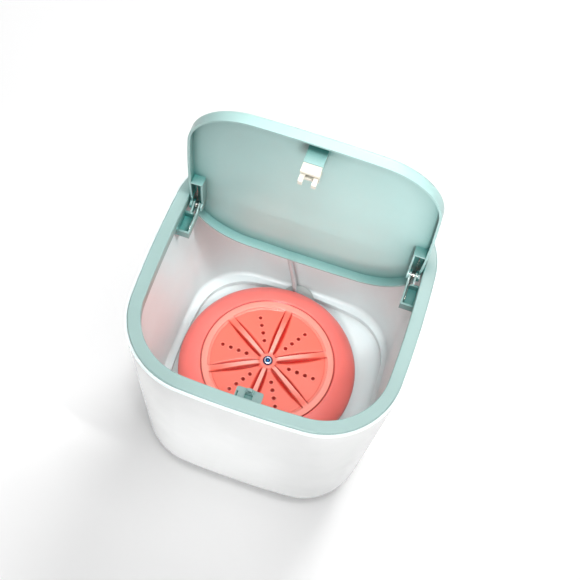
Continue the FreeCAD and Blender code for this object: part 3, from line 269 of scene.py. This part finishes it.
def coil_points():
    """Turns wound inwards on the surface and outwards again on top of those."""
    points = []
    count = int(COIL_TURNS * POINTS_PER_TURN)
    for k in range(1, count):
        turn = k / POINTS_PER_TURN
        inward = max(min(turn, INWARD_TURNS) - 0.5, 0.0)
        outward = min(max(turn - INWARD_TURNS, 0.0), 2.5)
        radius = COIL_RADIUS - TURN_SPACING * inward + TURN_SPACING * outward
        lift = CORD_DIAMETER * min(max(turn - 2.6, 0.0) / 0.8, 1.0)
        angle = math.pi - 2 * math.pi * turn
        points.append((COIL_CENTRE[0] + radius * math.cos(angle),
                       COIL_CENTRE[1] + radius * math.sin(angle), COIL_LOW + lift))
    return points


def cord_curve(name, route, radius):
    """One smooth round tube along a route."""
    data = bpy.data.curves.new(name, "CURVE")
    data.dimensions = "3D"
    spline = data.splines.new("NURBS")
    spline.points.add(len(route) - 1)
    for point, spot in zip(spline.points, route):
        point.co = (*mm(*spot), 1)
    spline.order_u = 3
    spline.use_endpoint_u = True
    spline.resolution_u = 6
    data.bevel_depth = radius * MM
    data.bevel_resolution = 5
    data.use_fill_caps = True
    made = bpy.data.objects.new(name, data)
    bpy.context.scene.collection.objects.link(made)
    return made


whole_route = CORD_ROUTE + coil_points() + TAIL_ROUTE
lead = cord_curve("supply_lead", whole_route, CORD_DIAMETER / 2)
lead.data.materials.append(MATERIALS["cord_jacket"])
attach(lead, "tub")
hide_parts("power_cord", "power_cord_coil", "power_cord_tail")


# ---------------------------------------------------------------- detailed pieces

def new_object(name, mesh, materials):
    """An object from a bmesh, smooth shaded, with its materials in order."""
    data = bpy.data.meshes.new(name)
    mesh.to_mesh(data)
    mesh.free()
    for material in materials:
        data.materials.append(material)
    data.shade_smooth()
    made = bpy.data.objects.new(name, data)
    bpy.context.scene.collection.objects.link(made)
    return made


def settle(made):
    """Work the object's modifiers into its mesh."""
    graph = bpy.context.evaluated_depsgraph_get()
    solid = bpy.data.meshes.new_from_object(made.evaluated_get(graph))
    made.modifiers.clear()
    made.data = solid


EDGE_ANGLE = math.radians(32)
WELD = 0.000002


def soft_edged(name, body, width):
    """A moulded piece with its sharp edges broken, in place of its plain solid."""
    mesh = bmesh.new()
    mesh.from_mesh(nodes[name].data)
    bmesh.ops.remove_doubles(mesh, verts=mesh.verts, dist=WELD)
    # The rim ring and the strike shelf take the darker mint, painted shade against the light on
    # their tops.
    look = "mint_shaded_copy" if name in ("rim_ring", "latch_strike") else SLOT_OF[name]
    made = new_object(name + "_moulded", mesh, [MATERIALS[look]])
    edge = made.modifiers.new("edge", "BEVEL")
    edge.width = width * MM
    edge.segments = 2
    edge.limit_method = "ANGLE"
    edge.angle_limit = EDGE_ANGLE
    edge.harden_normals = True
    made.modifiers.new("normals", "WEIGHTED_NORMAL").keep_sharp = True
    settle(made)
    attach(made, body)
    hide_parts(name)


def around(centre, radius, angle):
    """The point at a radius and angle from a centre, seen from above."""
    return centre[0] + radius * math.cos(angle), centre[1] + radius * math.sin(angle)


def turned(mesh, profile, centre, count, look=0):
    """Rings of faces between (radius, height) corners about an upright axis."""
    rings = []
    for radius, height in profile:
        if radius == 0:
            rings.append([mesh.verts.new(mm(centre[0], centre[1], height))])
            continue
        rings.append([mesh.verts.new(mm(*around(centre, radius, 2 * math.pi * k / count), height))
                      for k in range(count)])
    for low, high in zip(rings, rings[1:]):
        for k in range(count):
            after = (k + 1) % count
            corners = [low[k % len(low)], low[after % len(low)],
                       high[after % len(high)], high[k % len(high)]]
            corners = [v for n, v in enumerate(corners) if v not in corners[:n]]
            mesh.faces.new(corners).material_index = look


def smoothed(points, steps=6):
    """A curve through every point, as many more points."""
    made = []
    padded = [points[0]] + list(points) + [points[-1]]
    for p0, p1, p2, p3 in zip(padded, padded[1:], padded[2:], padded[3:]):
        for k in range(steps):
            t = k / steps
            made.append(tuple(0.5 * (2 * b + (c - a) * t + (2 * a - 5 * b + 4 * c - d) * t * t
                                     + (3 * b - a - 3 * c + d) * t ** 3)
                              for a, b, c, d in zip(p0, p1, p2, p3)))
    return made + [points[-1]]


RIB_TURN = math.radians(27.4)
SIXTH = math.pi / 3
HOLE_RADII = (15.6, 21.5, 27.3, 33.2)
HUB_Z = 61.5


def step_between(value, low, high):
    """0 below low, 1 above high, and a smooth rise between them."""
    t = min(max((value - low) / (high - low), 0.0), 1.0)
    return t * t * (3 - 2 * t)


def blade_height(radius, angle):
    """Top of the washing disc: six ribs, hollows beside them, a raised rim, a hub."""
    fold = (angle - RIB_TURN + SIXTH / 2) % SIXTH - SIXTH / 2
    across = radius * math.sin(fold)
    flat = 60.05 + 0.35 * math.sin(math.pi * min(radius / 38.0, 1.0))
    flat -= 0.22 * step_between(radius, 38.9, 39.2) * (1 - step_between(radius, 39.3, 39.6))
    along = min(max((radius - 5.0) / 36.0, 0.0), 1.0)
    spread = math.sin(math.pi * along ** 0.8)
    half = 1.15 + 0.95 * (radius / 41.0) ** 1.5
    if across < 0:
        reach, deep = 0.3 + 2.9 * spread, 1.5 * spread ** 0.6
    else:
        reach, deep = 0.3 + 1.9 * spread, 1.4 * spread ** 0.6
    off = abs(across) - half - 0.35
    if 0 < off < reach:
        flat -= deep * (1 - step_between(off, reach * 0.05, reach))
    elif off <= 0:
        flat -= deep
    crest = 62.6 - 1.55 * step_between(radius, 14.0, 41.0)
    crest -= 0.9 * (1 - step_between(radius, 4.6, 8.0))
    crest -= 0.16 * (1 - min(abs(across) / half, 1.0) ** 2)
    side = 1 - step_between(abs(across), half - 0.1, half + 0.35)
    top = flat + (crest - flat) * side
    rise = step_between(radius, 40.7, 41.3)
    top += (61.0 - top) * rise
    hub = 1 - step_between(radius, 5.0, 7.4)
    return top + (HUB_Z - top) * hub


def hole_places():
    """Radius and angle of every drain hole, four along the middle of each sector."""
    for row in range(6):
        for radius in HOLE_RADII:
            yield radius, RIB_TURN + SIXTH * (row + 0.5)


def washing_disc():
    """The rotor: a ribbed top, drilled through between the ribs, on a plain underside."""
    count = 660
    angles = [2 * math.pi * k / count for k in range(count)]
    radii = [3.0, 3.8, 4.6, 5.2, 5.8, 6.4, 7.0] + [7.0 + 0.5 * k for k in range(1, 63)]
    radii += [38.7, 38.9, 39.05, 39.2, 39.3, 39.45, 39.6, 40.1, 40.6, 40.8, 41.0, 41.2, 41.4,
              42.2, 43.0, 44.0, 44.8]
    mesh = bmesh.new()
    rings = [[mesh.verts.new(mm(*around(UNIT, radius, angle), blade_height(radius, angle)))
              for angle in angles] for radius in radii]
    for radius, height in ((45.2, 60.9), (45.5, 60.6), (45.6, 60.2), (45.6, 58.3), (45.3, 58.0),
                           (5.5, 58.0), (5.5, 57.5), (3.0, 57.5)):
        rings.append([mesh.verts.new(mm(*around(UNIT, radius, angle), height))
                      for angle in angles])
    rings.append(rings[0])
    for low, high in zip(rings, rings[1:]):
        for k in range(count):
            after = (k + 1) % count
            mesh.faces.new((low[k], high[k], high[after], low[after]))
    bmesh.ops.recalc_face_normals(mesh, faces=mesh.faces)
    made = new_object("washing_disc", mesh, [MATERIALS["disc"]])
    drill = bmesh.new()
    for radius, angle in hole_places():
        turned(drill, [(0, 57.2), (1.1, 57.2), (1.1, 59.9), (1.5, 60.6), (0, 60.6)],
               around(UNIT, radius, angle), 24)
    bmesh.ops.recalc_face_normals(drill, faces=drill.faces)
    cutter = new_object("disc_drill", drill, [])
    hole = made.modifiers.new("holes", "BOOLEAN")
    hole.object = cutter
    hole.operation = "DIFFERENCE"
    settle(made)
    bpy.data.objects.remove(cutter)
    made.data.set_sharp_from_angle(angle=math.radians(40))
    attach(made, "rotor")
    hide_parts("rotor")


def hole_rims():
    """The small raised lip round each drain hole."""
    mesh = bmesh.new()
    for radius, angle in hole_places():
        level = blade_height(radius, angle)
        turned(mesh, [(1.5, level - 0.3), (1.5, level + 0.02), (1.62, level + 0.14),
                      (1.85, level + 0.14), (2.05, level + 0.02), (2.1, level - 0.3)],
               around(UNIT, radius, angle), 28)
    # The lips take the lighter coral as a painted highlight.
    made = new_object("drain_hole_rims", mesh, [MATERIALS["disc_lip_highlight"]])
    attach(made, "rotor")


def dome():
    """Upper half of the turbine unit as one smooth turned moulding."""
    outside = smoothed([(61.4, 50.5), (60.9, 52.4), (59.5, 54.7), (57.1, 57.1), (54.0, 59.2),
                        (50.6, 60.6), (47.6, 61.2)])
    profile = [(59.2, 48.5), (61.1, 48.5), (61.4, 48.8)] + outside
    profile += [(46.9, 61.25), (46.4, 61.1), (46.2, 60.7), (46.15, 60.3), (45.8, 60.1),
                (45.75, 57.5), (45.6, 57.2), (5.0, 57.2)]
    mesh = bmesh.new()
    turned(mesh, profile, UNIT, 240)
    bmesh.ops.recalc_face_normals(mesh, faces=mesh.faces)
    made = new_object("turbine_dome", mesh, [MATERIALS["coral"]])
    made.data.set_sharp_from_angle(angle=math.radians(50))
    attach(made, "tub")
    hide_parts("turbine_upper_housing")


def hub_screw():
    """Pan-head screw with a dished ring, a dark recess and a blue thread lock inside."""
    ring, navy, blue = 0, 1, 2
    bands = (
        (navy, [(1.2, -8.5), (1.2, 0), (3.3, 0), (3.3, 0.75), (3.2, 1.0)]),
        (navy, [(3.2, 1.0), (3.05, 1.15), (2.75, 1.15), (2.6, 0.95)]),
        (ring, [(2.6, 0.95), (2.5, 0.9), (2.3, 1.05), (1.8, 1.1), (1.6, 1.0)]),
        (navy, [(1.6, 1.0), (1.5, 0.7), (1.45, 0.5), (0.9, 0.45)]),
        (blue, [(0.9, 0.45), (0.8, 0.6), (0.5, 0.7), (0, 0.72)]),
    )
    mesh = bmesh.new()
    for look, profile in bands:
        turned(mesh, [(radius, HUB_Z + rise) for radius, rise in profile], UNIT, 72, look)
    bmesh.ops.remove_doubles(mesh, verts=mesh.verts, dist=WELD / 2)
    bmesh.ops.recalc_face_normals(mesh, faces=mesh.faces)
    looks = [MATERIALS["hub_ring"], MATERIALS["hub_navy"], MATERIALS["hub_blue"]]
    made = new_object("hub_screw", mesh, looks)
    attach(made, "rotor")
    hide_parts("rotor_screw")


def tube_mesh(mesh, path, radius, sides=10):
    """A round wire along a path, with flat ends."""
    rings = []
    across = Vector((1, 0, 0))
    for k, spot in enumerate(path):
        ahead = (path[min(k + 1, len(path) - 1)] - path[max(k - 1, 0)]).normalized()
        if abs(ahead.dot(across)) > 0.9:
            across = ahead.orthogonal()
        across = (across - ahead * ahead.dot(across)).normalized()
        other = ahead.cross(across)
        rings.append([mesh.verts.new(spot + (across * math.cos(2 * math.pi * n / sides)
                                             + other * math.sin(2 * math.pi * n / sides)) * radius)
                      for n in range(sides)])
    for low, high in zip(rings, rings[1:]):
        for n in range(sides):
            after = (n + 1) % sides
            mesh.faces.new((low[n], low[after], high[after], high[n]))
    mesh.faces.new(list(reversed(rings[0])))
    mesh.faces.new(rings[-1])


HINGE_Y = 37.5
HINGE_Z = 172.0


def hinge_springs():
    """Two close turns of wire round each pin and the long leg that lies in the trough."""
    for side, sign in (("right", 1), ("left", -1)):
        path = []
        turns = 2.25
        count = int(turns * 28)
        start = math.radians(-90)
        for k in range(count + 1):
            angle = start + 2 * math.pi * turns * k / count
            path.append(mm(sign * (69.25 + 1.1 * k / count), HINGE_Y + 2.1 * math.cos(angle),
                           HINGE_Z + 2.1 * math.sin(angle)))
        leg = [mm(sign * 69.25, HINGE_Y - 1.2 - 16.2 * t, HINGE_Z - 2.05 - 2.05 * t)
               for t in (1.0, 0.75, 0.5, 0.25, 0.05)]
        mesh = bmesh.new()
        tube_mesh(mesh, leg + path, 0.35 * MM)
        made = new_object("torsion_spring_" + side, mesh, [MATERIALS["spring_wire"]])
        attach(made, "tub")
        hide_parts("hinge_spring_" + side)


LID_OPEN = math.radians(86.4)


def on_lid(x, y, z):
    """A point given with the lid shut, where it stands with the lid open."""
    ahead, up = y - HINGE_Y, z - HINGE_Z
    return mm(x, HINGE_Y + ahead * math.cos(LID_OPEN) + up * math.sin(LID_OPEN),
              HINGE_Z - ahead * math.sin(LID_OPEN) + up * math.cos(LID_OPEN))


def latch_coil():
    """The compression spring over the latch's plunger, made at one length; the real spring shortens
    as the plunger slides in.
    """
    turns, low, high, wire, radius, latch_y = 5.5, 169.4, 176.2, 0.28, 1.2, -62.0
    count = int(turns * 24)
    path = [on_lid(*around((0, latch_y), radius, 2 * math.pi * turns * k / count),
                   low + (high - low) * k / count) for k in range(count + 1)]
    mesh = bmesh.new()
    tube_mesh(mesh, path, wire * MM, 8)
    made = new_object("latch_coil_spring", mesh, [MATERIALS["spring_wire"]])
    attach(made, "lid")
    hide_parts("latch_spring")
    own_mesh(made)


CUP_PROFILE = [(0, 1.0), (4, 0.95), (8, 0.65), (11, 0.2), (12.3, 0.0), (12.6, 0.15), (12.5, 0.5),
               (11.6, 0.75), (9, 1.4), (6.5, 2.0), (4.5, 2.45), (3.2, 2.75), (2.0, 3.0)]
CUP_RADIUS = 44
CUP_LOW = 31
REAR_CUP = (-1.7, 61.3)
REAR_CUP_LOW = 37.6
REAR_CUP_TILT = math.radians(8)


def suction_cups():
    """Two cups under the unit and the tilted one behind it, each with its stem."""
    mesh = bmesh.new()
    stem = [(2.0, 41.0), (0, 41.0)]
    for degrees in (210, 330):
        turned(mesh, [(radius, CUP_LOW + rise) for radius, rise in CUP_PROFILE] + stem,
               around(UNIT, CUP_RADIUS, math.radians(degrees)), 96)
    upright = len(mesh.verts)
    turned(mesh, [(radius, REAR_CUP_LOW + rise) for radius, rise in CUP_PROFILE], REAR_CUP, 96)
    mesh.verts.ensure_lookup_table()
    tilt = Matrix.Rotation(REAR_CUP_TILT, 4, "X")
    pivot = mm(*REAR_CUP, REAR_CUP_LOW)
    for vertex in mesh.verts[upright:]:
        vertex.co = tilt @ (vertex.co - pivot) + pivot
    turned(mesh, [(2.0, 39.9), (2.0, 42.2), (0, 42.2)], REAR_CUP, 48)
    bmesh.ops.recalc_face_normals(mesh, faces=mesh.faces)
    made = new_object("soft_cups", mesh, [MATERIALS["cup_silicone"]])
    made.data.set_sharp_from_angle(angle=math.radians(55))
    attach(made, "tub")
    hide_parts("suction_cups")


MOULDED = (
    ("tub_outer_shell", "tub", 0.3), ("tub_liner", "tub", 0.4), ("rim_ring", "tub", 0.3),
    ("latch_strike", "tub", 0.15), ("lid", "lid", 0.25), ("latch_case", "lid", 0.2),
    ("latch_plunger", "latch_plunger", 0.15), ("latch_jaw_right", "latch_jaw_right", 0.2),
    ("latch_jaw_left", "latch_jaw_left", 0.2), ("turbine_lower_housing", "tub", 0.25),
    ("usb_plug_body", "tub", 0.25),
)
for node_name, body_name, edge_width in MOULDED:
    soft_edged(node_name, body_name, edge_width)
washing_disc()
hole_rims()
dome()
hub_screw()
hinge_springs()
latch_coil()
suction_cups()


# ---------------------------------------------------------------- stage, lights, camera

def stage_floor():
    """A plain white floor, 6 m across."""
    data = bpy.data.meshes.new("floor")
    mesh = bmesh.new()
    bmesh.ops.create_grid(mesh, x_segments=1, y_segments=1, size=3)
    mesh.to_mesh(data)
    mesh.free()
    floor = bpy.data.objects.new("floor", data)
    bpy.context.scene.collection.objects.link(floor)
    made, tree, shader, add = new_material("floor_white")
    shader.inputs["Base Color"].default_value = (0.95, 0.95, 0.95, 1)
    shader.inputs["Roughness"].default_value = 0.9
    data.materials.append(made)


def place_light(data, spot, target):
    """Hang a light at a spot and turn it to a target."""
    light = bpy.data.objects.new(data.name, data)
    light.location = spot
    light.rotation_euler = (Vector(target) - Vector(spot)).to_track_quat("-Z", "Y").to_euler()
    bpy.context.scene.collection.objects.link(light)


def area_light(name, spot, target, size, power):
    data = bpy.data.lights.new(name, "AREA")
    data.shape = "DISK"
    data.size = size
    data.energy = power
    place_light(data, spot, target)


def spot_light(name, spot, target, cone, power):
    data = bpy.data.lights.new(name, "SPOT")
    data.spot_size = math.radians(cone)
    data.spot_blend = 1.0
    data.shadow_soft_size = 0.08
    data.energy = power
    place_light(data, spot, target)


def studio():
    """A weak white surround, three soft panels and five soft spots."""
    world = bpy.data.worlds.new("studio")
    world.use_nodes = True
    world.node_tree.nodes["Background"].inputs["Color"].default_value = (1, 1, 1, 1)
    world.node_tree.nodes["Background"].inputs["Strength"].default_value = 0.2
    bpy.context.scene.world = world
    bpy.context.scene.view_settings.view_transform = "Standard"
    area_light("top", (0.1, -0.25, 1.4), (0, 0, 0.1), 1.0, 10.8)
    area_light("back", (0.25, 1.3, 1.5), (0, 0, 0.1), 0.8, 22)
    area_light("front", (0.1, -1.0, 0.3), (0.0, 0.0, 0.15), 0.4, 1.8)
    spot_light("rear_wall", (0.05, -0.5, 0.85), (0.012, 0.05, 0.11), 12.0, 28)
    spot_light("disc", (0.055, -0.15, 0.94), (0.003, 0.014, 0.06), 11.5, 22)
    spot_light("left_wall", (0.4, -0.12, 0.9), (-0.078, 0.0, 0.165), 9.0, 62)
    spot_light("lid", (0.3, -0.92, 0.44), (0.045, 0.06, 0.232), 12.5, 44)
    spot_light("front_wall", (-0.15, -1.0, 0.13), (-0.03, -0.09, 0.085), 9.0, 54)


CAMERA_PLACE = mm(57.1, -301.6, 781.6)
CAMERA_AIM = mm(-3.8, 37.5, 100.0)
CAMERA_ROLL = math.radians(9.16)
CAMERA_LENS = 70.84


def camera():
    """The view from above the front, turned a little about its own line of sight."""
    data = bpy.data.cameras.new("camera")
    data.sensor_width = 36
    data.lens = CAMERA_LENS
    data.clip_start = 0.01
    made = bpy.data.objects.new("camera", data)
    bpy.context.scene.collection.objects.link(made)
    look = (CAMERA_AIM - CAMERA_PLACE).to_track_quat("-Z", "Y").to_matrix()
    turn = Matrix.Rotation(CAMERA_ROLL, 3, "Z")
    made.matrix_world = Matrix.Translation(CAMERA_PLACE) @ (look @ turn).to_4x4()
    bpy.context.scene.camera = made


stage_floor()
studio()
camera()
